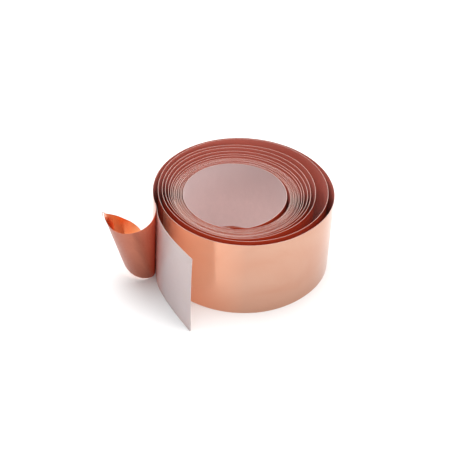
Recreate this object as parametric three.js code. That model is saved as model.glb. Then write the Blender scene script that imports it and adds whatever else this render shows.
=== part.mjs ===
// Copper foil tape roll, lying flat with its axis upright. Millimetres, +Z up.
// One long laminate of copper foil, adhesive and release paper is wound without a core: loose turns stand
// round a tight pack, and at the outer end the copper is peeled off the paper and curls away.
import * as THREE from 'three';

// Laminate
const WIDTH = 50;
const FOIL = 0.07;
const COAT = 0.04;
const LINER = 0.09;
const LAMINATE = FOIL + COAT + LINER;

// Winding: radius of each turn's copper face from the winding centre, outermost turn first. The columns are
// 45 degrees apart, from the left front corner clockwise round to the front.
const WINDING_CENTRE = [-2, -3];
const TURNS = [
  [49.5, 49.8, 51.0, 53.0, 54.4, 54.0, 49.6, 47.2],
  [46.4, 46.9, 49.6, 52.2, 52.9, 50.3, 46.1, 43.6],
  [42.9, 44.6, 46.0, 45.6, 46.2, 43.1, 41.5, 41.6],
  [41.2, 42.8, 43.8, 42.9, 42.2, 40.4, 39.8, 40.8],
  [40.4, 41.0, 40.8, 39.4, 39.2, 38.7, 38.4, 40.0],
  [39.8, 39.6, 38.0, 36.5, 36.2, 36.6, 37.6, 39.5],
  [39.3, 38.6, 36.0, 34.5, 34.3, 35.3, 36.9, 39.1],
];
const PACK_OUTSIDE = [38.6, 37.7, 34.4, 32.0, 32.3, 34.2, 36.3, 38.6];
const PACK_INSIDE = [34.3, 32.9, 29.9, 27.0, 26.6, 28.4, 31.3, 33.8];
const INNER_TURN = [33.9, 32.4, 29.5, 26.6, 26.1, 26.7, 28.8, 33.0];
const STATIONS = 8;
const FIRST_STATION_DEG = 225;
const PEEL_DEG = 196;
const INNER_END_DEG = 262;

// Gaps that keep neighbouring solids apart
const CUT_GAP = 0.3;
const BAND_GAP = 0.1;
const PACK_CLEARANCE = 0.2;

// Copper tail: bending and ruling slant at five even steps along it
const TAIL_LENGTH = 54.8;
const TAIL_BEND = [0.048, 0.0795, 0.0792, 0.0614, 0.0623];
const TAIL_SLANT = [0, -0.482, -0.46, -0.679, -0.902];
const TAIL_REACH = 1.6;

// Liner tail: plan positions of its top and bottom edges
const LINER_TOP = [[-49.3, -16.9], [-48.3, -21], [-45.9, -32], [-40, -44], [-31.5, -56.5], [-26, -63.5]];
const LINER_BOTTOM = [[-49.3, -16.9], [-48.4, -21], [-46.3, -31], [-41, -42.5], [-32.5, -56.5], [-25.5, -67]];

// Facets
const SECTORS = 60;
const TAIL_STEPS = 22;
const TAIL_ROWS = 5;
const LINER_STEPS = 12;
const LINER_ROWS = 2;

const material = {
  copper: new THREE.MeshStandardMaterial({ color: 0xd98c62, metalness: 1, roughness: 0.25 }),
  adhesive: new THREE.MeshStandardMaterial({ color: 0xc07050, metalness: 0.3, roughness: 0.45 }),
  paper: new THREE.MeshStandardMaterial({ color: 0xd8ccca, metalness: 0, roughness: 0.55 }),
  pack: new THREE.MeshStandardMaterial({ color: 0xcfa294, metalness: 0.3, roughness: 0.5 }),
};

const group = new THREE.Group();
group.name = 'copper_foil_tape_roll';

function add(name, geometry, kind) {
  const mesh = new THREE.Mesh(geometry, material[kind]);
  mesh.name = name;
  group.add(mesh);
}

// ---------------------------------------------------------------- winding path

function catmullRom(p0, p1, p2, p3, t) {
  const a = 2 * p1;
  const b = (p2 - p0) * t;
  const c = (2 * p0 - 5 * p1 + 4 * p2 - p3) * t * t;
  const d = (3 * p1 - p0 - 3 * p2 + p3) * t * t * t;
  return (a + b + c + d) / 2;
}

function smooth(values, at) {
  const i = Math.floor(at);
  return catmullRom(values(i - 1), values(i), values(i + 1), values(i + 2), at - i);
}

const windingRadii = [...TURNS.flat(), ...PACK_OUTSIDE.map((r) => r + LAMINATE + PACK_CLEARANCE)];

function windingRadius(station) {
  return smooth((i) => windingRadii[Math.max(0, i)], station);
}

function ringRadius(row, station) {
  return smooth((i) => row[((i % STATIONS) + STATIONS) % STATIONS], station);
}

function planPoint(radius, station) {
  const angle = THREE.MathUtils.degToRad(FIRST_STATION_DEG - station * (360 / STATIONS));
  return new THREE.Vector2(
    WINDING_CENTRE[0] + radius * Math.cos(angle),
    WINDING_CENTRE[1] + radius * Math.sin(angle),
  );
}

function stationOf(degrees) {
  return (FIRST_STATION_DEG - degrees) / (360 / STATIONS);
}

// ---------------------------------------------------------------- closed sheets

// A closed sheet between two equal grids of points: rows run across the tape and columns along it.
function sheet(front, back) {
  const rows = front.length;
  const columns = front[0].length;
  const positions = [...front.flat(), ...back.flat()].flatMap((p) => [p.x, p.y, p.z]);
  const index = [];
  const at = (side, r, c) => side * rows * columns + r * columns + c;
  const quad = (a, b, c, d) => index.push(a, b, c, a, c, d);
  for (let r = 0; r + 1 < rows; r += 1) {
    for (let c = 0; c + 1 < columns; c += 1) {
      quad(at(0, r, c), at(0, r, c + 1), at(0, r + 1, c + 1), at(0, r + 1, c));
      quad(at(1, r, c), at(1, r + 1, c), at(1, r + 1, c + 1), at(1, r, c + 1));
    }
  }
  for (let c = 0; c + 1 < columns; c += 1) {
    quad(at(0, 0, c), at(1, 0, c), at(1, 0, c + 1), at(0, 0, c + 1));
    quad(at(0, rows - 1, c), at(0, rows - 1, c + 1), at(1, rows - 1, c + 1), at(1, rows - 1, c));
  }
  for (let r = 0; r + 1 < rows; r += 1) {
    quad(at(0, r, 0), at(0, r + 1, 0), at(1, r + 1, 0), at(1, r, 0));
    quad(at(0, r, columns - 1), at(1, r, columns - 1), at(1, r + 1, columns - 1), at(0, r + 1, columns - 1));
  }
  return closed(positions, index);
}

// A closed ring between an outer and an inner outline of equal length.
function ring(outer, inner) {
  const n = outer.length;
  const positions = [
    ...outer.map((p) => [p.x, p.y, WIDTH]),
    ...outer.map((p) => [p.x, p.y, 0]),
    ...inner.map((p) => [p.x, p.y, WIDTH]),
    ...inner.map((p) => [p.x, p.y, 0]),
  ].flat();
  const index = [];
  const quad = (a, b, c, d) => index.push(a, b, c, a, c, d);
  for (let i = 0; i < n; i += 1) {
    const j = (i + 1) % n;
    quad(i, j, n + j, n + i);
    quad(2 * n + i, 3 * n + i, 3 * n + j, 2 * n + j);
    quad(i, 2 * n + i, 2 * n + j, j);
    quad(n + i, n + j, 3 * n + j, 3 * n + i);
  }
  return closed(positions, index);
}

function volumeOf(positions, index) {
  const p = (i) => new THREE.Vector3(positions[3 * i], positions[3 * i + 1], positions[3 * i + 2]);
  let total = 0;
  for (let i = 0; i < index.length; i += 3) {
    total += p(index[i]).dot(p(index[i + 1]).cross(p(index[i + 2]))) / 6;
  }
  return total;
}

function closed(positions, index) {
  const outward = volumeOf(positions, index) > 0 ? index : [...index].reverse();
  const geometry = new THREE.BufferGeometry();
  geometry.setAttribute('position', new THREE.Float32BufferAttribute(positions, 3));
  geometry.setIndex(outward);
  geometry.computeVertexNormals();
  return geometry;
}

// ---------------------------------------------------------------- turns and pack

// One layer of one turn: the sheet between two depths below the copper face.
function turnLayer(radius, from, to, nearDepth, farDepth) {
  const columns = [];
  for (let i = 0; i <= SECTORS; i += 1) {
    columns.push(from + ((to - from) * i) / SECTORS);
  }
  const wall = (depth) => [WIDTH, 0].map((z) => columns.map((station) => {
    const p = planPoint(radius(station) - depth, station);
    return new THREE.Vector3(p.x, p.y, z);
  }));
  return sheet(wall(nearDepth), wall(farDepth));
}

function gapInStations(radius) {
  return (CUT_GAP / (2 * Math.PI * radius)) * STATIONS;
}

TURNS.forEach((row, k) => {
  const from = stationOf(PEEL_DEG) + k * STATIONS;
  const to = from + STATIONS - gapInStations(row[0]);
  add(`foil_turn_${k + 1}`, turnLayer(windingRadius, from, to, 0, FOIL), 'copper');
  add(`liner_turn_${k + 1}`, turnLayer(windingRadius, from, to, FOIL + COAT, LAMINATE), 'paper');
});

const innerRadius = (station) => ringRadius(INNER_TURN, station);
const innerFrom = stationOf(INNER_END_DEG);
const innerTo = innerFrom + STATIONS - gapInStations(INNER_TURN[0]);
add('foil_turn_inner', turnLayer(innerRadius, innerFrom, innerTo, 0, FOIL), 'copper');
add('liner_turn_inner', turnLayer(innerRadius, innerFrom, innerTo, FOIL + COAT, LAMINATE), 'paper');

function packOutline(share, inset) {
  const points = [];
  for (let i = 0; i < SECTORS; i += 1) {
    const station = stationOf(PEEL_DEG) + (i * STATIONS) / SECTORS;
    const outside = ringRadius(PACK_OUTSIDE, station);
    const inside = ringRadius(PACK_INSIDE, station);
    points.push(planPoint(outside + (inside - outside) * share - inset, station));
  }
  return points;
}

['pack_outer', 'pack_middle', 'pack_inner'].forEach((name, k) => {
  const outer = packOutline(k / 3, k > 0 ? BAND_GAP / 2 : 0);
  const inner = packOutline((k + 1) / 3, k < 2 ? -BAND_GAP / 2 : 0);
  add(name, ring(outer, inner), 'pack');
});

// ---------------------------------------------------------------- copper tail

// The peeled foil bends without stretching, so it is swept along its middle line: at every step it turns
// about a straight ruling, and the rulings slant more and more towards the free end.
function tailFrames() {
  const start = stationOf(PEEL_DEG) - gapInStations(TURNS[0][0]);
  const step = 0.02;
  const here = planPoint(windingRadius(start), start);
  const behind = planPoint(windingRadius(start + step), start + step);
  const heading = here.clone().sub(behind).normalize();
  let along = new THREE.Vector3(heading.x, heading.y, 0);
  let normal = new THREE.Vector3(heading.y, -heading.x, 0);
  let across = new THREE.Vector3(0, 0, -1);
  const middle = new THREE.Vector3(here.x, here.y, WIDTH / 2);
  const count = 160;
  const ds = (TAIL_LENGTH * TAIL_REACH) / count;
  const knot = (row, s) => {
    const at = Math.min(row.length - 1.0001, (s / (TAIL_LENGTH * TAIL_REACH)) * (row.length - 1));
    return smooth((i) => row[Math.min(row.length - 1, Math.max(0, i))], at);
  };
  const frames = [];
  for (let i = 0; i <= count; i += 1) {
    const s = i * ds;
    const slant = knot(TAIL_SLANT, s);
    frames.push({
      s,
      slant,
      middle: middle.clone(),
      along: along.clone(),
      normal: normal.clone(),
      across: across.clone(),
    });
    const bend = knot(TAIL_BEND, s + ds / 2);
    const axis = along.clone().multiplyScalar(bend * slant).addScaledVector(across, bend);
    const angle = axis.length() * ds;
    axis.normalize();
    const halfway = along.clone().applyAxisAngle(axis, angle / 2);
    along = along.applyAxisAngle(axis, angle);
    normal = normal.applyAxisAngle(axis, angle);
    across = across.applyAxisAngle(axis, angle);
    middle.addScaledVector(halfway, ds);
  }
  return frames;
}

// Point of the tail at a distance along the tape and a distance below its middle line, with its normal.
function tailPoint(frames, distance, below) {
  const reach = (f) => f.s + below * f.slant;
  let i = 0;
  while (i + 2 < frames.length && reach(frames[i + 1]) < distance) {
    i += 1;
  }
  const a = frames[i];
  const b = frames[i + 1];
  const t = (distance - reach(a)) / (reach(b) - reach(a));
  const mix = (key) => a[key].clone().lerp(b[key], t);
  const slant = a.slant + (b.slant - a.slant) * t;
  const point = mix('middle').addScaledVector(mix('across'), below).addScaledVector(mix('along'), below * slant);
  return { point, normal: mix('normal').normalize() };
}

function tailLayer(nearDepth, farDepth) {
  const frames = tailFrames();
  const face = (depth) => {
    const rows = [];
    for (let r = 0; r <= TAIL_ROWS; r += 1) {
      const below = -WIDTH / 2 + (WIDTH * r) / TAIL_ROWS;
      const row = [];
      for (let c = 0; c <= TAIL_STEPS; c += 1) {
        const { point, normal } = tailPoint(frames, (TAIL_LENGTH * c) / TAIL_STEPS, below);
        row.push(point.addScaledVector(normal, -depth));
      }
      rows.push(row);
    }
    return rows;
  };
  return sheet(face(nearDepth), face(farDepth));
}

add('tail_foil', tailLayer(0, FOIL), 'copper');
add('tail_adhesive', tailLayer(FOIL + 0.02, FOIL + 0.02 + COAT), 'adhesive');

// ---------------------------------------------------------------- liner tail

function linerTail() {
  const curve = (points) => new THREE.CatmullRomCurve3(points.map(([x, y]) => new THREE.Vector3(x, y, 0)));
  const top = curve(LINER_TOP);
  const bottom = curve(LINER_BOTTOM);
  const face = (depth) => {
    const rows = [];
    for (let r = 0; r <= LINER_ROWS; r += 1) {
      const row = [];
      for (let c = 0; c <= LINER_STEPS; c += 1) {
        const t = c / LINER_STEPS;
        const down = r / LINER_ROWS;
        const tangent = top.getTangent(t).lerp(bottom.getTangent(t), down).normalize();
        const point = top.getPoint(t).lerp(bottom.getPoint(t), down);
        point.x += tangent.y * -depth;
        point.y += tangent.x * depth;
        point.z = WIDTH * (1 - down);
        row.push(point);
      }
      rows.push(row);
    }
    return rows;
  };
  return sheet(face(0), face(LINER));
}

add('tail_liner', linerTail(), 'paper');

// ---------------------------------------------------------------- shared origin

// The origin goes to the centre of the whole part's footprint, on the surface it stands on.
const box = new THREE.Box3().setFromObject(group);
const centre = box.getCenter(new THREE.Vector3());
group.children.forEach((mesh) => {
  mesh.geometry.translate(-centre.x, -centre.y, 0);
});

export default group;
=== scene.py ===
# %% [markdown]
# # A roll of copper foil tape
#
# Stained-glass makers wrap the edges of their glass in this tape. It is one long laminate of three
# layers: thin soft copper, an adhesive coat, and a release paper (the liner) that is peeled off
# before use. This one has no cardboard core. Seven loose turns stand around a tight pack, and at the
# outer end the copper has been peeled off the liner and has curled away.
#
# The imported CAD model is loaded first. It is the frame that every piece here has to fit, and it says
# which rigid body each piece moves with.

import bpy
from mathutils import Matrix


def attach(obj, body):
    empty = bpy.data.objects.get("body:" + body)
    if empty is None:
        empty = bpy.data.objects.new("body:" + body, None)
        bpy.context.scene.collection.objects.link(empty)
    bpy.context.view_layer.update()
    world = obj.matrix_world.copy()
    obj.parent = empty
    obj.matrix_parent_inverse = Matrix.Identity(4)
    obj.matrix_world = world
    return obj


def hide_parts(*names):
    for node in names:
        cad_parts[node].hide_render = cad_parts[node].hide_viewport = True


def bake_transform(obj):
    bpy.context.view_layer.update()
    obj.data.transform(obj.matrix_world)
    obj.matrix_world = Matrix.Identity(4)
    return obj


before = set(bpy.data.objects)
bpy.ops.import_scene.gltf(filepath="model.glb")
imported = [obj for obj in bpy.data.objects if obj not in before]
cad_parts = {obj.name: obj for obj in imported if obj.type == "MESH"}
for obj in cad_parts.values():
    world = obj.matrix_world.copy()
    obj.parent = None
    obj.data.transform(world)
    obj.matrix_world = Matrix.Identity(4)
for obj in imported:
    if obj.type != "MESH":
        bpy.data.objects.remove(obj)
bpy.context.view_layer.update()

# %% [markdown]
# ## Tools and units
#
# Blender works in metres, and tape is measured in millimetres, so a length is written as a number
# times MM. numpy holds the points of a mesh as one array, which is far quicker than making them one
# at a time.

# %% Imports and units
import math

import bpy
import numpy as np
from mathutils import Quaternion

MM = 0.001
scene = bpy.context.scene

# %% [markdown]
# ## How the tape is wound
#
# A winding is a spiral: the further along the tape, the smaller the radius. A loose one isn't an even
# spiral, so its radius is given at eight places in each turn, and a smooth curve runs through them.
# The places are 45 degrees apart and run clockwise, seen from above, from the left front corner.
#
# It could also be drawn by hand as a curve object, but a function of one number, the station, lets
# every layer of the laminate follow the same path at its own depth.
#
# The frame has its origin in the middle of the whole object, tails and all. Places in plan were laid
# out from another point, nearer the roll, and adding PLAN_ORIGIN moves them into the frame.

# %% Winding dimensions
WIDTH = 50 * MM
FOIL = 0.07 * MM
COAT = 0.04 * MM
LINER = 0.09 * MM
LAMINATE = FOIL + COAT + LINER
PLAN_ORIGIN = np.array([11.531, 8.478])
WINDING_CENTRE = (np.array([-2, -3]) + PLAN_ORIGIN) * MM
LOOSE_TURNS = np.array([
    [49.5, 49.8, 51.0, 53.0, 54.4, 54.0, 49.6, 47.2],
    [46.4, 46.9, 49.6, 52.2, 52.9, 50.3, 46.1, 43.6],
    [42.9, 44.6, 46.0, 45.6, 46.2, 43.1, 41.5, 41.6],
    [41.2, 42.8, 43.8, 42.9, 42.2, 40.4, 39.8, 40.8],
    [40.4, 41.0, 40.8, 39.4, 39.2, 38.7, 38.4, 40.0],
    [39.8, 39.6, 38.0, 36.5, 36.2, 36.6, 37.6, 39.5],
    [39.3, 38.6, 36.0, 34.5, 34.3, 35.3, 36.9, 39.1],
]) * MM
PACK_OUTSIDE = np.array([38.6, 37.7, 34.4, 32.0, 32.3, 34.2, 36.3, 38.6]) * MM
PACK_INSIDE = np.array([34.3, 32.9, 29.9, 27.0, 26.6, 28.4, 31.3, 33.8]) * MM
INNER_TURN = np.array([33.9, 32.4, 29.5, 26.6, 26.1, 26.7, 28.8, 33.0]) * MM
STATIONS = 8
STATION_DEG = 360 / STATIONS
FIRST_STATION_DEG = 225
PEEL_DEG = 196
INNER_END_DEG = 262
CUT_GAP = 0.3 * MM
PACK_CLEARANCE = 0.2 * MM


# %% [markdown]
# A Catmull-Rom curve passes through every number in a row and has no kinks, which is what a springy
# strip does. The same helper serves an open row, whose ends are held, and a closed ring, which wraps
# round.

# %% Smooth curves through a row of numbers
def smooth(row, at, wrap=False):
    row, at = np.asarray(row, float), np.asarray(at, float)
    i = np.floor(at).astype(int)
    t = at - i
    neighbours = np.stack([i - 1, i, i + 1, i + 2])
    neighbours = neighbours % len(row) if wrap else np.clip(neighbours, 0, len(row) - 1)
    a, b, c, d = row[neighbours]
    return (2 * b + (c - a) * t + (2 * a - 5 * b + 4 * c - d) * t**2 + (3 * b - a - 3 * c + d) * t**3) / 2


def station_of(degrees):
    return (FIRST_STATION_DEG - degrees) / STATION_DEG


def plan_point(radius, station):
    angle = np.radians(FIRST_STATION_DEG - station * STATION_DEG)
    return WINDING_CENTRE + radius[..., None] * np.stack([np.cos(angle), np.sin(angle)], -1)


WINDING = np.concatenate([LOOSE_TURNS.ravel(), PACK_OUTSIDE + LAMINATE + PACK_CLEARANCE])
PEEL_STATION = station_of(PEEL_DEG)


def wound_radius(station):
    return smooth(WINDING, station)


def path_point(station):
    return plan_point(wound_radius(station), station)


path_station = np.arange(0, len(WINDING), 0.05)
path_step = np.linalg.norm(np.diff(path_point(path_station), axis=0), axis=1)
path_length = np.concatenate([[0], np.cumsum(path_step)])


def wound_length(station):
    return np.interp(station, path_station, path_length)


outline = path_point(PEEL_STATION + np.arange(0, STATIONS, 0.1))
peel_length = float(wound_length(PEEL_STATION))
print("outer turn, mm across:", (np.ptp(outline, axis=0) / MM).round(1))
print("tape in the loose turns, m:", round(float(path_length[-1]), 2))


# %% [markdown]
# ## One builder for every strip
#
# Each layer of tape is a thin closed solid with a front face, a back face and a narrow rim all round.
# The builder takes two grids of points and joins them. It also stores how far along the tape and how
# high up it each point is, as a UV map called "tape", so a finish can run along the strip wherever
# the strip bends.
#
# A Solidify modifier on a single surface would be quicker to type. Two grids were chosen because the
# layers have to nest inside one another to a hundredth of a millimetre.

# %% Closed strips
SHARP_EDGE_DEG = 35


def strip(name, front, back, along, up, finishes):
    rows, columns = front.shape[:2]
    points = np.concatenate([front.reshape(-1, 3), back.reshape(-1, 3)])
    at = np.arange(2 * rows * columns).reshape(2, rows, columns)

    def quads(grid):
        return np.stack([grid[:-1, :-1], grid[:-1, 1:], grid[1:, 1:], grid[1:, :-1]], -1).reshape(-1, 4)

    edge_rows = [np.stack([at[1, 0], at[0, 0]]), np.stack([at[0, -1], at[1, -1]])]
    edge_columns = [np.stack([at[0, :, 0], at[1, :, 0]]), np.stack([at[1, :, -1], at[0, :, -1]])]
    rim = np.concatenate([quads(grid) for grid in edge_rows + edge_columns])
    groups = [quads(at[0]), quads(at[1])[:, ::-1], rim]
    faces = np.concatenate(groups)
    corner = points[faces]
    volume = np.einsum("ij,ij->", corner[:, 0], np.cross(corner[:, 1], corner[:, 2]))
    volume += np.einsum("ij,ij->", corner[:, 0], np.cross(corner[:, 2], corner[:, 3]))
    if volume < 0:
        faces = faces[:, ::-1]
    mesh = bpy.data.meshes.new(name)
    mesh.from_pydata(points.tolist(), [], faces.tolist())
    uv = np.stack(np.broadcast_arrays(along, up), -1).reshape(-1, 2)
    layer = mesh.uv_layers.new(name="tape")
    layer.data.foreach_set("uv", np.concatenate([uv, uv])[faces.ravel()].astype(np.float32).ravel())
    finish_of_face = np.repeat([0, 1, 2], [len(group) for group in groups])
    mesh.polygons.foreach_set("material_index", finish_of_face.astype(np.int32))
    for finish in finishes:
        mesh.materials.append(finish)
    mesh.shade_smooth()
    mesh.set_sharp_from_angle(angle=math.radians(SHARP_EDGE_DEG))
    piece = bpy.data.objects.new(name, mesh)
    scene.collection.objects.link(piece)
    return piece


# %% [markdown]
# ## Finishes
#
# A finish is a small network of nodes. A few helpers keep each one short. They start a material with
# the values that are the same all over, make a noise that follows the tape, stretch its range, mix
# two colours by it, tell how far along the tape a point is, and turn a height into a bump.
#
# The noise reads the "tape" UV map, scaled differently along and across, so one node can give the
# long fine lines that the rollers leave in foil, or round smudges from fingers.

# %% Helpers for finishes
def finish(name, colour, **sockets):
    made = bpy.data.materials.new(name)
    made.use_nodes = True
    shader = made.node_tree.nodes["Principled BSDF"]
    shader.inputs["Base Color"].default_value = (*colour, 1)
    for socket, value in sockets.items():
        shader.inputs[socket.replace("_", " ")].default_value = value
    return made, made.node_tree, shader


def add_node(tree, kind, **settings):
    node = tree.nodes.new(kind)
    for key, value in settings.items():
        if key in node.inputs:
            node.inputs[key].default_value = value
        else:
            setattr(node, key, value)
    return node


def tape_noise(tree, along, across, detail=3.0, distortion=0.0, seed=0.0):
    place = add_node(tree, "ShaderNodeUVMap", uv_map="tape")
    scale = add_node(tree, "ShaderNodeMapping")
    scale.inputs["Scale"].default_value = (along, across, 1)
    scale.inputs["Location"].default_value = (seed, seed * 0.37, seed * 0.11)
    noise = add_node(tree, "ShaderNodeTexNoise", Scale=1.0, Detail=detail, Distortion=distortion)
    tree.links.new(place.outputs[0], scale.inputs["Vector"])
    tree.links.new(scale.outputs[0], noise.inputs["Vector"])
    return noise.outputs["Fac"]


def stretch(tree, value, low, high, to_low, to_high):
    limits = {"From Min": low, "From Max": high, "To Min": to_low, "To Max": to_high}
    node = add_node(tree, "ShaderNodeMapRange", **limits)
    tree.links.new(value, node.inputs["Value"])
    return node.outputs["Result"]


def blend_colours(tree, factor, first, second):
    node = add_node(tree, "ShaderNodeMix", data_type="RGBA")
    tree.links.new(factor, node.inputs[0])
    for socket, colour in ((6, first), (7, second)):
        if isinstance(colour, tuple):
            node.inputs[socket].default_value = (*colour, 1)
        else:
            tree.links.new(colour, node.inputs[socket])
    return node.outputs[2]


def place_on_tape(tree, start, end, direction="X"):
    place = add_node(tree, "ShaderNodeUVMap", uv_map="tape")
    parts = add_node(tree, "ShaderNodeSeparateXYZ")
    tree.links.new(place.outputs[0], parts.inputs[0])
    return stretch(tree, parts.outputs[direction], start, end, 0, 1)


def bump(tree, height, distance, below=None):
    node = add_node(tree, "ShaderNodeBump", Distance=distance, Strength=1.0)
    tree.links.new(height, node.inputs["Height"])
    if below is not None:
        tree.links.new(below, node.inputs["Normal"])
    return node.outputs["Normal"]


# %% [markdown]
# ### Rolled copper
#
# Copper foil is rolled between polished cylinders. It comes out bright, with very fine lines along
# its length, and it is so soft that handling leaves shallow dents, smudges and faint pink or brown
# patches.
#
# The metal is a Principled shader with Metallic at 1: all its colour is in its reflections. Two
# copper tones are mixed by a slow noise, roughness follows the smudges, and the bump has the rolling
# lines and the dents.
#
# The outermost face is painted a darker, duller copper, and the faces that the winding covers a
# brighter red-orange. They are shaded and lit copies of one copper: a painted shade on the outside,
# whose wall mirrors the bright table, and painted light on the covered turns, for the light that goes
# back and forth between them. The last few centimetres of the outer face under the peel line are
# painted warmer, a painted reflection of the liner's free end beside them.

# %% The copper
def copper_finish(name, tone, patch_tone, roughness, dent, painted_warmth=None):
    made, tree, shader = finish(name, tone, Metallic=1.0, Roughness=roughness, IOR=1.5)
    shader.inputs["Anisotropic"].default_value = 0.35
    smudges = tape_noise(tree, 55, 60, detail=4, distortion=0.6, seed=3.1)
    tarnish = stretch(tree, tape_noise(tree, 24, 30, detail=5, distortion=1.2, seed=7.7), 0.46, 0.72, 0, 1)
    colour = blend_colours(tree, tarnish, tone, patch_tone)
    # Optional painted light: a warmer copper blended in over one stretch of the tape.
    if painted_warmth:
        start, end, painted_warm_tone = painted_warmth
        colour = blend_colours(tree, place_on_tape(tree, start, end), colour, painted_warm_tone)
    tree.links.new(colour, shader.inputs["Base Color"])
    worn = stretch(tree, smudges, 0.35, 0.7, roughness * 0.8, roughness * 1.45)
    tree.links.new(worn, shader.inputs["Roughness"])
    lines = bump(tree, tape_noise(tree, 12, 5200, detail=2, seed=1.3), 0.0012 * MM)
    dents = bump(tree, tape_noise(tree, 70, 42, detail=2, seed=5.9), dent, below=lines)
    tree.links.new(dents, shader.inputs["Normal"])
    return made


# Painted shade: the outer copper is a darker copy of the same copper.
PAINTED_DARK_COPPER = (0.55, 0.318, 0.23)
turn_end = wound_length(PEEL_STATION + STATIONS)
# Painted light on the outer copper under the peel line, where it mirrors the back of the liner's free end.
painted_reflection_by_flap = (turn_end - 66 * MM, turn_end - 24 * MM, (0.88, 0.375, 0.22))
# Painted light: a vivid red on the tail's copper near the peel line, standing in for light bounced in the
# crease.
painted_bounce_by_peel = (peel_length, peel_length - 20 * MM, (0.97, 0.33, 0.125))
copper = copper_finish("copper_painted_darker", PAINTED_DARK_COPPER, (0.53, 0.285, 0.20), 0.17, 0.08 * MM,
                       painted_warmth=painted_reflection_by_flap)
tail_copper = copper_finish("curled_copper", PAINTED_DARK_COPPER, (0.51, 0.27, 0.185), 0.16, 0.06 * MM,
                            painted_warmth=painted_bounce_by_peel)
# Painted light: the covered turns' copper is a brighter red-orange copy, for light bounced between the
# turns.
copper_painted_brighter = copper_finish("copper_painted_brighter", (0.97, 0.43, 0.245), (0.93, 0.37, 0.20), 0.15, 0.08 * MM)
copper_edge = copper_finish("slit_copper_edge", (0.46, 0.21, 0.14), (0.36, 0.14, 0.09), 0.32, 0.02 * MM)
print("copper finishes:", [m.name for m in (copper, tail_copper, copper_painted_brighter, copper_edge)])

# %% [markdown]
# ### Adhesive coat
#
# The back of the foil carries a thin clear acrylic adhesive. Through it the copper looks duller and
# browner, and the coat has its own faint ripples from the coating knife, which run along the tape.
#
# It is a duller, rougher and only partly metallic base with a clear coat on top, which the Principled
# shader has built in. On the tail, the coat is painted red at the peel line, a painted stand-in for
# light bounced in the crease there, and painted darker towards the free end, a painted shade.

# %% The adhesive
def adhesive_finish(name, peeled=False):
    made, tree, shader = finish(name, (0.56, 0.19, 0.11), Metallic=0.55, Roughness=0.4)
    shader.inputs["Coat Weight"].default_value = 0.12
    shader.inputs["Coat Roughness"].default_value = 0.28
    shader.inputs["Coat IOR"].default_value = 1.47
    ripples = tape_noise(tree, 90, 14, detail=4, distortion=0.5, seed=11.3)
    rippled = stretch(tree, ripples, 0.4, 0.6, 0, 1)
    tone = blend_colours(tree, rippled, (0.63, 0.205, 0.115), (0.45, 0.12, 0.065))
    # Painted light and shade on the tail: red near the peel line for light bounced in the crease, darker
    # towards the free end.
    if peeled:
        middle, root, end = (peel_length - away * MM for away in (20, 7, 32))
        tone = blend_colours(tree, place_on_tape(tree, middle, root), tone, (0.95, 0.17, 0.07))
        tone = blend_colours(tree, place_on_tape(tree, middle, end), tone, (0.36, 0.088, 0.038))
    tree.links.new(tone, shader.inputs["Base Color"])
    grain = tape_noise(tree, 900, 900, detail=3, seed=2.2)
    tree.links.new(stretch(tree, grain, 0.3, 0.7, 0.33, 0.47), shader.inputs["Roughness"])
    fine = bump(tree, grain, 0.004 * MM)
    wide = bump(tree, tape_noise(tree, 130, 26, detail=2, seed=8.8), 0.12 * MM, below=fine)
    tree.links.new(wide, shader.inputs["Normal"])
    return made


adhesive = adhesive_finish("adhesive_on_copper")
peeled_adhesive = adhesive_finish("adhesive_on_the_tail", peeled=True)
print("adhesive finishes:", adhesive.name, peeled_adhesive.name)

# %% [markdown]
# ### Release paper
#
# The liner is a dense white paper with a silicone face, so it is smooth and faintly glossy, with soft
# fibre clouds inside. It is also a little translucent: on the roll the copper behind it warms it to a
# pinkish grey. On the free end its front is painted a darker grey, a painted shade, and its back a
# near white, a painted light, so the copper beside it mirrors a bright sheet.
#
# On the roll, warmer tones of the same paper show this: pink in the hole. The hole liner is also
# painted darker towards its upper rim, a painted shade, and the liner in the gaps is painted a deep,
# dark red, a painted stand-in for the light that goes back and forth between copper and paper and
# for the shade in there. Only the free end lets light through. Its root is painted warmer, a painted
# light bounced from the copper that stands close behind it.

# %% The paper
def paper_finish(name, tone, roughness, painted_bounce_at_root=None, painted_shade_at_rim=None, let_through=0.0):
    made, tree, shader = finish(name, tone, Roughness=roughness, IOR=1.45)
    shader.inputs["Specular IOR Level"].default_value = 0.5
    shader.inputs["Sheen Weight"].default_value = 0.08
    shader.inputs["Subsurface Weight"].default_value = let_through
    shader.inputs["Subsurface Radius"].default_value = (1.0, 0.8, 0.7)
    shader.inputs["Subsurface Scale"].default_value = 0.6 * MM
    clouds = tape_noise(tree, 260, 300, detail=6, distortion=0.8, seed=4.4)
    cloud_tone = tuple(0.96 * channel for channel in tone)
    colour = blend_colours(tree, stretch(tree, clouds, 0.34, 0.68, 0, 1), tone, cloud_tone)
    # Painted light: a warm copper-coloured tone near the root, for light bounced from the copper.
    if painted_bounce_at_root:
        colour = blend_colours(tree, place_on_tape(tree, 23 * MM, 3 * MM), colour, painted_bounce_at_root)
    # Painted shade: the tone darkens towards the upper edge of the tape.
    if painted_shade_at_rim:
        colour = blend_colours(tree, place_on_tape(tree, 22 * MM, WIDTH, "Y"), colour, painted_shade_at_rim)
    tree.links.new(colour, shader.inputs["Base Color"])
    slow = tape_noise(tree, 30, 34, detail=2, seed=9.1)
    polish = stretch(tree, slow, 0.3, 0.7, roughness * 0.85, roughness * 1.2)
    tree.links.new(polish, shader.inputs["Roughness"])
    fibres = bump(tree, tape_noise(tree, 1500, 4200, detail=3, seed=6.5), 0.003 * MM)
    tree.links.new(fibres, shader.inputs["Normal"])
    return made


paper_in_hole = paper_finish("liner_over_copper", (0.75, 0.575, 0.555), 0.42, painted_shade_at_rim=(0.58, 0.435, 0.425))
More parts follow.
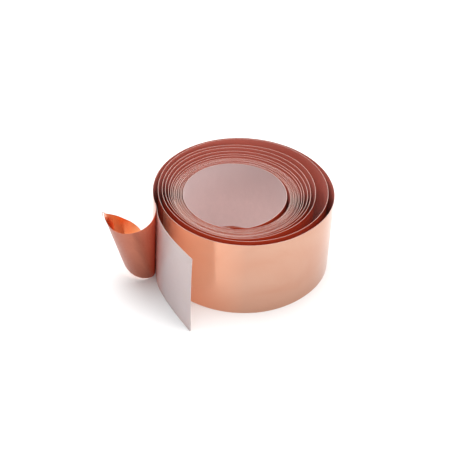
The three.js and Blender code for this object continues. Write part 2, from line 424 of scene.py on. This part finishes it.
# Painted light and shade: a deep, dark red for light bounced between copper and paper in the gaps.
paper_in_gaps = paper_finish("liner_between_turns", (0.61, 0.18, 0.14), 0.36)
# Painted shade: the free end's front is a darker grey copy of the paper.
paper_free_shaded = paper_finish("liner_front_painted_shade", (0.345, 0.332, 0.352), 0.34, painted_bounce_at_root=(0.52, 0.215, 0.175),
                          let_through=1.0)
# Painted light: the free end's back is a near-white copy of the same paper.
paper_back_lit = paper_finish("liner_back_painted_light", (0.88, 0.80, 0.77), 0.4, let_through=1.0)
paper_edge = paper_finish("liner_cut_edge", (0.70, 0.62, 0.60), 0.6)
papers = (paper_in_hole, paper_in_gaps, paper_free_shaded, paper_back_lit, paper_edge)
print("paper finishes:", [m.name for m in papers])

# %% [markdown]
# ## The seven loose turns
#
# When a roll is handled, its outer turns spring open. Each turn here is a foil strip with a liner
# strip inside it. Every layer of a turn is made in two half turns, left and right. A roll can
# telescope, each turn outside standing a little higher than the middle, but here every turn stands on
# the table.
#
# Soft foil is never a perfect cylinder, so a few slow waves, a few hundredths of a millimetre high in
# all, run through the radius. They are real geometry, not bump, because reflections in bright copper
# show them. Each wave is given as its share of the height, how fast it runs round the roll, its
# slant, and where it starts.
#
# The foil strip here carries the adhesive on its back, so it is as deep as both, less a hair to keep
# it clear of the liner.

# %% Layers of a turn
WAVES = ((1.0, 3.1, 0, 0.7), (0.6, 7.3, 22, 2.1), (0.5, 13.7, -40, 0.4), (0.35, 23.1, 60, 0.0))


def waviness(station, height, amount):
    along = station * math.radians(STATION_DEG)
    wave = sum(share * np.sin(rate * along + slant * height + phase) for share, rate, slant, phase in WAVES)
    return amount * wave / sum(share for share, *_ in WAVES)


def turn_layer(name, radius, first, last, depths, finishes, wave, columns=110, rows=9):
    station = np.linspace(first, last, columns)
    height = np.linspace(WIDTH, 0, rows)

    def face(depth):
        grid = np.zeros((rows, columns, 3))
        from_centre = radius(station) - depth + waviness(station, height[:, None], wave)
        grid[..., :2] = plan_point(from_centre, np.broadcast_to(station, (rows, columns)))
        grid[..., 2] = height[:, None]
        return grid

    front, back = face(depths[0]), face(depths[1])
    return strip(name, front, back, wound_length(station)[None, :], height[:, None], finishes)


COAT_PRESSED = 0.9
FOIL_DEPTHS = (0.0, FOIL + COAT * COAT_PRESSED)
LINER_DEPTHS = (FOIL + COAT, LAMINATE)
outer_foil_sides = (copper, adhesive, copper_edge)
foil_sides = (copper_painted_brighter, adhesive, copper_edge)
liner_sides = (paper_in_gaps, paper_in_gaps, paper_edge)
hole_liner_sides = (paper_in_gaps, paper_in_hole, paper_edge)

# %% [markdown]
# Now the turns themselves. Each half turn gets a foil and a liner piece, the matching part of the CAD
# model is hidden, and each piece's placement is baked into its mesh.

# %% Build the loose turns
def climb(piece):
    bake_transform(piece)


OUTERMOST_WAVE, COVERED_WAVE = 0.07 * MM, 0.04 * MM
half_turn = STATIONS / 2
loose_pieces = []
for turn in range(1, len(LOOSE_TURNS) + 1):
    begin = PEEL_STATION + (turn - 1) * STATIONS
    for half, side in enumerate(("left", "right")):
        first = begin + half * half_turn
        last = first + half_turn
        wave = OUTERMOST_WAVE if turn == 1 else COVERED_WAVE
        sides = outer_foil_sides if turn == 1 else foil_sides
        foil = turn_layer(f"foil_turn_{turn}_{side}", wound_radius, first, last,
                          FOIL_DEPTHS, sides, wave=wave)
        liner = turn_layer(f"liner_turn_{turn}_{side}", wound_radius, first, last,
                           LINER_DEPTHS, liner_sides, wave=wave)
        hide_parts(f"foil_turn_{turn}")
        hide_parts(f"liner_turn_{turn}")
        for piece in (foil, liner):
            climb(piece)
            loose_pieces.append(piece.name)
print("loose turn pieces:", len(loose_pieces))

# %% [markdown]
# ## The tight pack
#
# Inside the loose turns the rest of the tape is still wound tight. From above it reads as fine copper
# and paper lines, with a few darker ones where a turn has slackened, and no two edges stand at quite
# the same height, because tape wanders a little as it is wound. A real pack this thick has twenty
# turns or more. Fourteen are wound here, with wider gaps, so that the lines stay distinct.
#
# Three solid rings would fill the same space, and that is what the CAD model has. Here it is wound
# for real: one long foil strip and one long liner strip, each a single mesh, whose spacing and edge
# height vary along the way. A tight turn takes a share of one, SLACK adds to the share of the turns
# that it names, and the turns are looser on the right, as the whole roll is.

# %% Wind the pack
PACK_TURNS = 14
SLACK = {1: 0.6, 3: 2.2, 6: 2.6, 9: 2.6, 11: 1.6}
SPACING_CHANGE = 0.18
LOOSE_ON_THE_RIGHT = 0.8
LOOSEST_AT = -0.2
PACK_FOIL_DEPTHS = (0.0, 0.06 * MM)
PACK_LINER_DEPTHS = (0.065 * MM, 0.125 * MM)
INSIDE_CLEARANCE = 0.13 * MM
EDGE_WANDER = 0.42 * MM
EDGE_WAVES = ((0.5, 2.3, 1.0), (0.3, 9.1, 0.0), (0.2, 31.7, 2.0))
TOP_EDGE = WIDTH - 0.08 * MM
BOTTOM_EDGE = 0.22 * MM
turn_number = np.arange(PACK_TURNS)
slack = np.array([SLACK.get(n, 0.0) for n in turn_number])
turn_spacing = 1.0 + slack + SPACING_CHANGE * np.sin(2.9 * turn_number)
turn_share = np.concatenate([[0], np.cumsum(turn_spacing)]) / turn_spacing.sum()


def pack_radius(turns):
    outside = smooth(PACK_OUTSIDE, turns * STATIONS, wrap=True)
    inside = smooth(PACK_INSIDE, turns * STATIONS, wrap=True) + INSIDE_CLEARANCE
    share = np.interp(turns, np.arange(PACK_TURNS + 1), turn_share)
    angle = np.radians(FIRST_STATION_DEG - turns * 360)
    to_the_right = np.clip(np.cos(angle - LOOSEST_AT), 0, None)
    share = share + LOOSE_ON_THE_RIGHT * to_the_right * share * (1 - share) ** 2
    return outside + (inside - outside) * share


def edge_wander(turns):
    return EDGE_WANDER * sum(share * np.sin(rate * turns + phase) for share, rate, phase in EDGE_WAVES)


def pack_layer(name, depths, finishes, columns_per_turn=120):
    turns = np.linspace(0, PACK_TURNS, PACK_TURNS * columns_per_turn + 1)
    height = np.array([WIDTH, 0.0])

    def face(depth):
        grid = np.zeros((2, len(turns), 3))
        grid[..., :2] = plan_point(pack_radius(turns) - depth, turns * STATIONS)
        grid[0, :, 2] = TOP_EDGE + edge_wander(turns)
        grid[1, :, 2] = BOTTOM_EDGE + edge_wander(turns) / 2
        return grid

    front, back = face(depths[0]), face(depths[1])
    step = np.linalg.norm(np.diff(front[0, :, :2], axis=0), axis=1)
    along = np.concatenate([[0], np.cumsum(step)])
    return strip(name, front, back, along[None, :], height[:, None], finishes)


pack_foil = pack_layer("pack_foil", PACK_FOIL_DEPTHS, foil_sides)
pack_liner = pack_layer("pack_liner", PACK_LINER_DEPTHS, liner_sides)
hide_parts("pack_outer", "pack_middle", "pack_inner")
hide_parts("pack_outer", "pack_middle", "pack_inner")
for piece in (pack_foil, pack_liner):
    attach(piece, "pack")
pack_turn_length = 2 * math.pi * (PACK_OUTSIDE.mean() + PACK_INSIDE.mean()) / 2
print("pack strip length, m:", round(float(PACK_TURNS * pack_turn_length), 2))

# %% [markdown]
# ## The innermost turn
#
# With no core to hold it, the last turn has sprung away from the pack on the right and leaves a dark
# crescent. Its liner side is the wall that one sees through the hole. At the near side of the hole
# the very end of the liner stands off in a small flat arch, and the foil behind it has lifted about
# half as far.
#
# The arch is a raised sine, 27 degrees long. Past the point where the turn closes, its end steps
# inward by a third of a millimetre, so that it lies inside the start of the same turn.

# %% Build the innermost turn
INNER_WAVE = 0.03 * MM
INNER_COLUMNS = 260
OVERLAP_STEP = 0.3 * MM
OVERLAP_STATIONS = 0.1
LINER_LIFT, FOIL_LIFT = 2.2 * MM, 1.0 * MM
ARCH_BEFORE_DEG, ARCH_AFTER_DEG = 16, 11
ARCH_SHARPNESS = 1.4
inner_first = station_of(INNER_END_DEG)
inner_last = inner_first + STATIONS - CUT_GAP / (2 * math.pi * INNER_TURN[0]) * STATIONS
arch_first = inner_last - ARCH_BEFORE_DEG / STATION_DEG
arch_last = inner_last + ARCH_AFTER_DEG / STATION_DEG


def lifted_radius(station, lift):
    share = np.clip((station - arch_first) / (arch_last - arch_first), 0, 1)
    inside_start = OVERLAP_STEP * np.clip((station - inner_last) / OVERLAP_STATIONS + 1, 0, 1)
    arch = lift * np.sin(math.pi * share) ** ARCH_SHARPNESS
    return smooth(INNER_TURN, station, wrap=True) - arch - inside_start


def inner_foil_radius(station):
    return lifted_radius(station, FOIL_LIFT)


def inner_liner_radius(station):
    return lifted_radius(station, LINER_LIFT)


inner_foil = turn_layer("inner_turn_foil", inner_foil_radius, inner_first, inner_last + OVERLAP_STATIONS,
                        FOIL_DEPTHS, foil_sides, columns=INNER_COLUMNS, wave=INNER_WAVE)
inner_liner = turn_layer("inner_turn_liner", inner_liner_radius, inner_first, arch_last,
                         LINER_DEPTHS, hole_liner_sides, columns=INNER_COLUMNS, wave=INNER_WAVE)
inner_pieces = (inner_foil, "foil_turn_inner", "copper"), (inner_liner, "liner_turn_inner", "paper")
for piece, node, slot in inner_pieces:
    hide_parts(node)
    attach(piece, "pack")
print("hole, mm across:", round(2 * float(INNER_TURN.mean()) / MM, 1))

# %% [markdown]
# ## The copper tail
#
# Peeled foil keeps the curl that the peeling gave it. It bends without stretching, so at every point
# it has a straight line across it, called a ruling. Near the peel line the rulings stand upright.
# Towards the free end they slant, so the curl is a cone, wide at the top, and the end's upper corner
# stands above the roll.
#
# The strip's middle line is followed in small steps. At each step the strip turns about its ruling,
# by the bend there. This is how a sheet-metal worker rolls a cone, and it keeps the tape's true width
# and length. A cloth simulation would crumple instead: foil isn't cloth.
#
# The bend (one over the radius) and the slant are given at five evenly spaced places. Slanting
# rulings reach the lower edge beyond the end of the middle line, so the sweep goes on past the tail's
# own length. These two rows and the length weren't chosen by hand: a separate fitting program found
# them, and they are rounded.

# %% Sweep the tail's rulings
TAIL_LENGTH = 54.8 * MM
TAIL_BEND = np.array([0.048, 0.0795, 0.0792, 0.0614, 0.0623]) / MM
TAIL_SLANT = np.array([0, -0.482, -0.46, -0.679, -0.902])
TAIL_REACH = 1.6


def turn_about(vector, axis, angle):
    return (vector * math.cos(angle) + np.cross(axis, vector) * math.sin(angle)
            + axis * np.dot(axis, vector) * (1 - math.cos(angle)))


def tail_rulings(count=220):
    here, behind = path_point(np.array([PEEL_STATION, PEEL_STATION + 0.02]))
    heading = (here - behind) / np.linalg.norm(here - behind)
    along, normal = np.array([*heading, 0.0]), np.array([heading[1], -heading[0], 0.0])
    across, middle = np.array([0.0, 0.0, -1.0]), np.array([*here, WIDTH / 2])
    distance = np.linspace(0, TAIL_LENGTH * TAIL_REACH, count)
    knots = distance / distance[-1] * (len(TAIL_BEND) - 1.0001)
    bend, slant = smooth(TAIL_BEND, knots), smooth(TAIL_SLANT, knots)
    frames = []
    for i in range(count):
        frames.append((middle, along, normal, across))
        axis = along * bend[i] * slant[i] + across * bend[i]
        size = np.linalg.norm(axis)
        axis, angle = axis / size, size * distance[1]
        middle = middle + turn_about(along, axis, angle / 2) * distance[1]
        along, normal, across = (turn_about(v, axis, angle) for v in (along, normal, across))
    return distance, slant, np.array(frames)


ruling_at, ruling_slant, ruling_frames = tail_rulings()
print("tail rulings:", ruling_frames.shape)


# %% [markdown]
# The tail has three small things that a smooth cone lacks: soft creases along some rulings, a slight
# ripple at the free edge, and a thin sliver that the scissors left at its upper corner, bent over
# outwards and down.
#
# The grid is finer over the last five millimetres, at the free end and at the top edge, so that the
# sliver has enough points to bend.

# %% Shape the tail
SLIVER_LENGTH = 4.6 * MM
SLIVER_WIDTH = 2.4 * MM
SLIVER_ROOT = 2 * MM
SLIVER_RADIUS = 0.5 * MM
SLIVER_TURN = math.radians(200)
SLIVER_DROP = 0.9
FINE_REACH, FINE_STEP = 5 * MM, 0.22 * MM
COARSE_ALONG, COARSE_DOWN = 0.7 * MM, 1.3 * MM
CREASES = ((0.14 * MM, 2.9 * MM, 1.3), (0.05 * MM, 1.1 * MM, 0.0))
RIPPLE_HEIGHT, RIPPLE_LENGTH = 0.12 * MM, 3.4 * MM
RIPPLE_SHARE = 0.2


def fine_at_the_end(length, step):
    coarse = np.arange(0, length - FINE_REACH, step)
    fine = np.linspace(length - FINE_REACH, length, int(FINE_REACH / FINE_STEP) + 1)
    return np.concatenate([coarse, fine])


def bend_sliver(beyond):
    bent = np.clip(beyond, 0, SLIVER_TURN * SLIVER_RADIUS)
    flat = np.clip(beyond - SLIVER_TURN * SLIVER_RADIUS, 0, None)
    forward = SLIVER_RADIUS * np.sin(bent / SLIVER_RADIUS) + flat * math.cos(SLIVER_TURN)
    outward = SLIVER_RADIUS * (1 - np.cos(bent / SLIVER_RADIUS)) + flat * math.sin(SLIVER_TURN)
    return forward - np.clip(beyond, 0, None), outward, flat * SLIVER_DROP


def tail_row(down, depth):
    even = fine_at_the_end(TAIL_LENGTH, COARSE_ALONG)
    sliver = SLIVER_LENGTH * np.clip(1 - (down + WIDTH / 2) / SLIVER_WIDTH, 0, 1)
    along = even + sliver * np.clip((even - TAIL_LENGTH + SLIVER_ROOT) / SLIVER_ROOT, 0, 1)
    ruling = np.interp(along, ruling_at + down * ruling_slant, ruling_at)
    middle, forward, normal, across = (
        np.stack([np.interp(ruling, ruling_at, ruling_frames[:, k, axis]) for axis in range(3)], -1)
        for k in range(4))
    slant = np.interp(ruling, ruling_at, ruling_slant)[:, None]
    looseness = np.clip(along / TAIL_LENGTH, 0, 1) ** 1.5
    crease = looseness * sum(height * np.sin(ruling / length + phase) for height, length, phase in CREASES)
    near_the_end = np.clip((along / TAIL_LENGTH - 1) / RIPPLE_SHARE + 1, 0, 1)
    ripple = RIPPLE_HEIGHT * np.sin(down / RIPPLE_LENGTH + 0.5) * near_the_end
    shift, outward, drop = bend_sliver(along - TAIL_LENGTH)
    lift = crease + ripple - outward - depth
    row = middle + down * (across + slant * forward) + normal * lift[:, None]
    return row + forward * shift[:, None] + across * drop[:, None], ruling


def tail_face(depth):
    below_middle = WIDTH / 2 - fine_at_the_end(WIDTH, COARSE_DOWN)[::-1]
    rows, rulings = zip(*(tail_row(down, depth) for down in below_middle))
    return np.array(rows), np.array(rulings), below_middle


def tail_layer(name, depths, finishes):
    front, ruling, below = tail_face(depths[0])
    back = tail_face(depths[1])[0]
    return strip(name, front, back, peel_length - ruling, (WIDTH / 2 - below)[:, None], finishes)


HAIR_GAP = 0.005 * MM
tail_foil = tail_layer("tail_foil_strip", (0.0, FOIL), (tail_copper, peeled_adhesive, copper_edge))
tail_coat = tail_layer("tail_adhesive_coat", (FOIL + HAIR_GAP, FOIL + COAT), (peeled_adhesive,) * 3)
for piece, node, slot in ((tail_foil, "tail_foil", "copper"), (tail_coat, "tail_adhesive", "adhesive")):
    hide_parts(node)
    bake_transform(piece)
print("copper tail, highest point in mm:", round(max(v.co.z for v in tail_foil.data.vertices) / MM, 1))

# %% [markdown]
# ## The liner's free end
#
# The paper goes straight on where the copper left it. It is springy and keeps nearly flat, with its
# lower corner pushed a little further out than its upper one. Its shape is a ruled surface: two edge
# curves, one at the top and one on the table, with straight lines between them, a bow too slight to
# see except in the sheen, and a lower edge that turns out by half a millimetre.

# %% Build the liner tail
TOP_POINTS = [[-49.3, -16.9], [-48.3, -21], [-45.9, -32], [-40, -44], [-31.5, -56.5], [-26, -63.5]]
LOW_POINTS = [[-49.3, -16.9], [-48.4, -21], [-46.3, -31], [-41, -42.5], [-32.5, -56.5], [-25.5, -67]]
LINER_TOP, LINER_BOTTOM = (np.array([TOP_POINTS, LOW_POINTS]) + PLAN_ORIGIN) * MM
LINER_BOW = 0.5 * MM
COCKLE_HEIGHT, COCKLE_LENGTH = 0.05 * MM, 4.1 * MM
TURNED_OUT, TURNED_HEIGHT = 0.5 * MM, 1.6 * MM


def edge_curve(points, columns):
    at = np.linspace(0, len(points) - 1.0001, columns)
    fine = np.stack([smooth(points[:, k], at) for k in range(2)], -1)
    run = np.concatenate([[0], np.cumsum(np.linalg.norm(np.diff(fine, axis=0), axis=1))])
    even = np.linspace(0, run[-1], columns)
    return np.stack([np.interp(even, run, fine[:, k]) for k in range(2)], -1), even


def liner_face(depth, columns=70):
    top, along = edge_curve(LINER_TOP, columns)
    bottom, _ = edge_curve(LINER_BOTTOM, columns)
    down = np.concatenate([np.linspace(0, 0.96, 20), np.linspace(0.966, 1, 8)])
    grid = np.zeros((len(down), columns, 3))
    for r, share in enumerate(down):
        line = top * (1 - share) + bottom * share
        tangent = np.gradient(line, axis=0)
        tangent /= np.linalg.norm(tangent, axis=1)[:, None]
        outward = np.stack([tangent[:, 1], -tangent[:, 0]], -1)
        from_root = along / along[-1]
        bow = LINER_BOW * math.sin(math.pi * share) * from_root**1.5
        cockle = COCKLE_HEIGHT * np.sin(along / COCKLE_LENGTH + 5 * share)
        near_table = np.clip(1 - WIDTH * (1 - share) / TURNED_HEIGHT, 0, 1)
        turned = TURNED_OUT * near_table**1.5 * from_root
        grid[r, :, :2] = line + outward * (bow + cockle + turned - depth)[:, None]
        grid[r, :, 2] = WIDTH * (1 - share)
    return grid, along, WIDTH * (1 - down)


liner_front, liner_along, liner_up = liner_face(0.0)
liner_back, *_ = liner_face(LINER)
tail_liner = strip("tail_liner_strip", liner_front, liner_back, liner_along[None, :], liner_up[:, None],
                   (paper_free_shaded, paper_back_lit, paper_edge))
liner_heading = np.array([*(LINER_TOP[1] - LINER_TOP[0]), 0.0])
liner_heading /= np.linalg.norm(liner_heading)
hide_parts("tail_liner")
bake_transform(tail_liner)
print("liner tail length, mm:", round(float(liner_along[-1]) / MM, 1))

# %% [markdown]
# ## Table, light and camera
#
# Bright copper shows what surrounds it, so the table and the light are half of its colour. The
# upright wall of the roll mirrors the table in front of it, and the table is a pale plain sheet,
# brightly and evenly lit, as in a light tent.
#
# The tent itself is the world colour, one soft white all round. One broad lamp above gives it a
# direction, and a small weak one at the front right brightens the table there.

# %% The table
def floor_finish():
    made, tree, shader = finish("pale_table", (0.9, 0.9, 0.9), Roughness=0.9)
    shader.inputs["Specular IOR Level"].default_value = 0.1
    place = add_node(tree, "ShaderNodeTexCoord")
    noise = add_node(tree, "ShaderNodeTexNoise", Scale=3.0, Detail=2.0)
    tree.links.new(place.outputs["Object"], noise.inputs["Vector"])
    tree.links.new(blend_colours(tree, noise.outputs["Fac"], (0.9, 0.9, 0.9), (0.92, 0.92, 0.92)),
                   shader.inputs["Base Color"])
    return made


TABLE_HALF = 3.0
table_corners = [(x * TABLE_HALF, y * TABLE_HALF, 0) for x, y in ((-1, -1), (1, -1), (1, 1), (-1, 1))]
floor_mesh = bpy.data.meshes.new("table")
floor_mesh.from_pydata(table_corners, [], [(0, 1, 2, 3)])
floor_mesh.materials.append(floor_finish())
table = bpy.data.objects.new("table", floor_mesh)
scene.collection.objects.link(table)
print("table, m across:", 2 * TABLE_HALF)

# %% The light
world = bpy.data.worlds.new("light_tent")
scene.world = world
world.use_nodes = True
tent = world.node_tree.nodes["Background"]
tent.inputs["Color"].default_value = (1.0, 1.0, 1.0, 1)
tent.inputs["Strength"].default_value = 0.66


def soft_lamp(name, place, aim, size, power):
    data = bpy.data.lights.new(name, "AREA")
    data.shape, data.size, data.energy = "SQUARE", size, power
    lamp = bpy.data.objects.new(name, data)
    lamp.location = place
    direction = np.array(aim) - np.array(place)
    lamp.rotation_euler = (math.acos(-direction[2] / np.linalg.norm(direction)), 0,
                           math.atan2(direction[1], direction[0]) - math.pi / 2)
    scene.collection.objects.link(lamp)


soft_lamp("overhead_panel", (-0.05, 0.25, 1.0), (0, 0, 0), size=1.5, power=17.0)
soft_lamp("side_panel", (0.84, -0.45, 0.36), (-0.02, -0.03, 0.03), size=0.5, power=3.0)
scene.view_settings.view_transform = "Standard"

# %% [markdown]
# The camera stands well back with a long lens, looks down at about forty degrees, and is turned a few
# degrees about its own line of sight, so the table's front edge would run slightly downhill. Its place
# and both angles are rounded results of a fitting program too.

# %% The camera
CAMERA_PLACE = (0.002533, -0.559168, 0.489292)
CAMERA_DOWN_DEG = 39.47
CAMERA_ROLL_DEG = 3.01
lens = bpy.data.cameras.new("camera")
lens.lens = 100
lens.sensor_width = 36
lens.clip_end = 20
camera = bpy.data.objects.new("camera", lens)
camera.location = CAMERA_PLACE
camera.rotation_mode = "QUATERNION"
tilt = Quaternion((1, 0, 0), math.radians(90 - CAMERA_DOWN_DEG))
camera.rotation_quaternion = tilt @ Quaternion((0, 0, 1), math.radians(CAMERA_ROLL_DEG))
scene.collection.objects.link(camera)
scene.camera = camera
print("camera, m from the roll:", round(float(np.linalg.norm(CAMERA_PLACE)), 2))
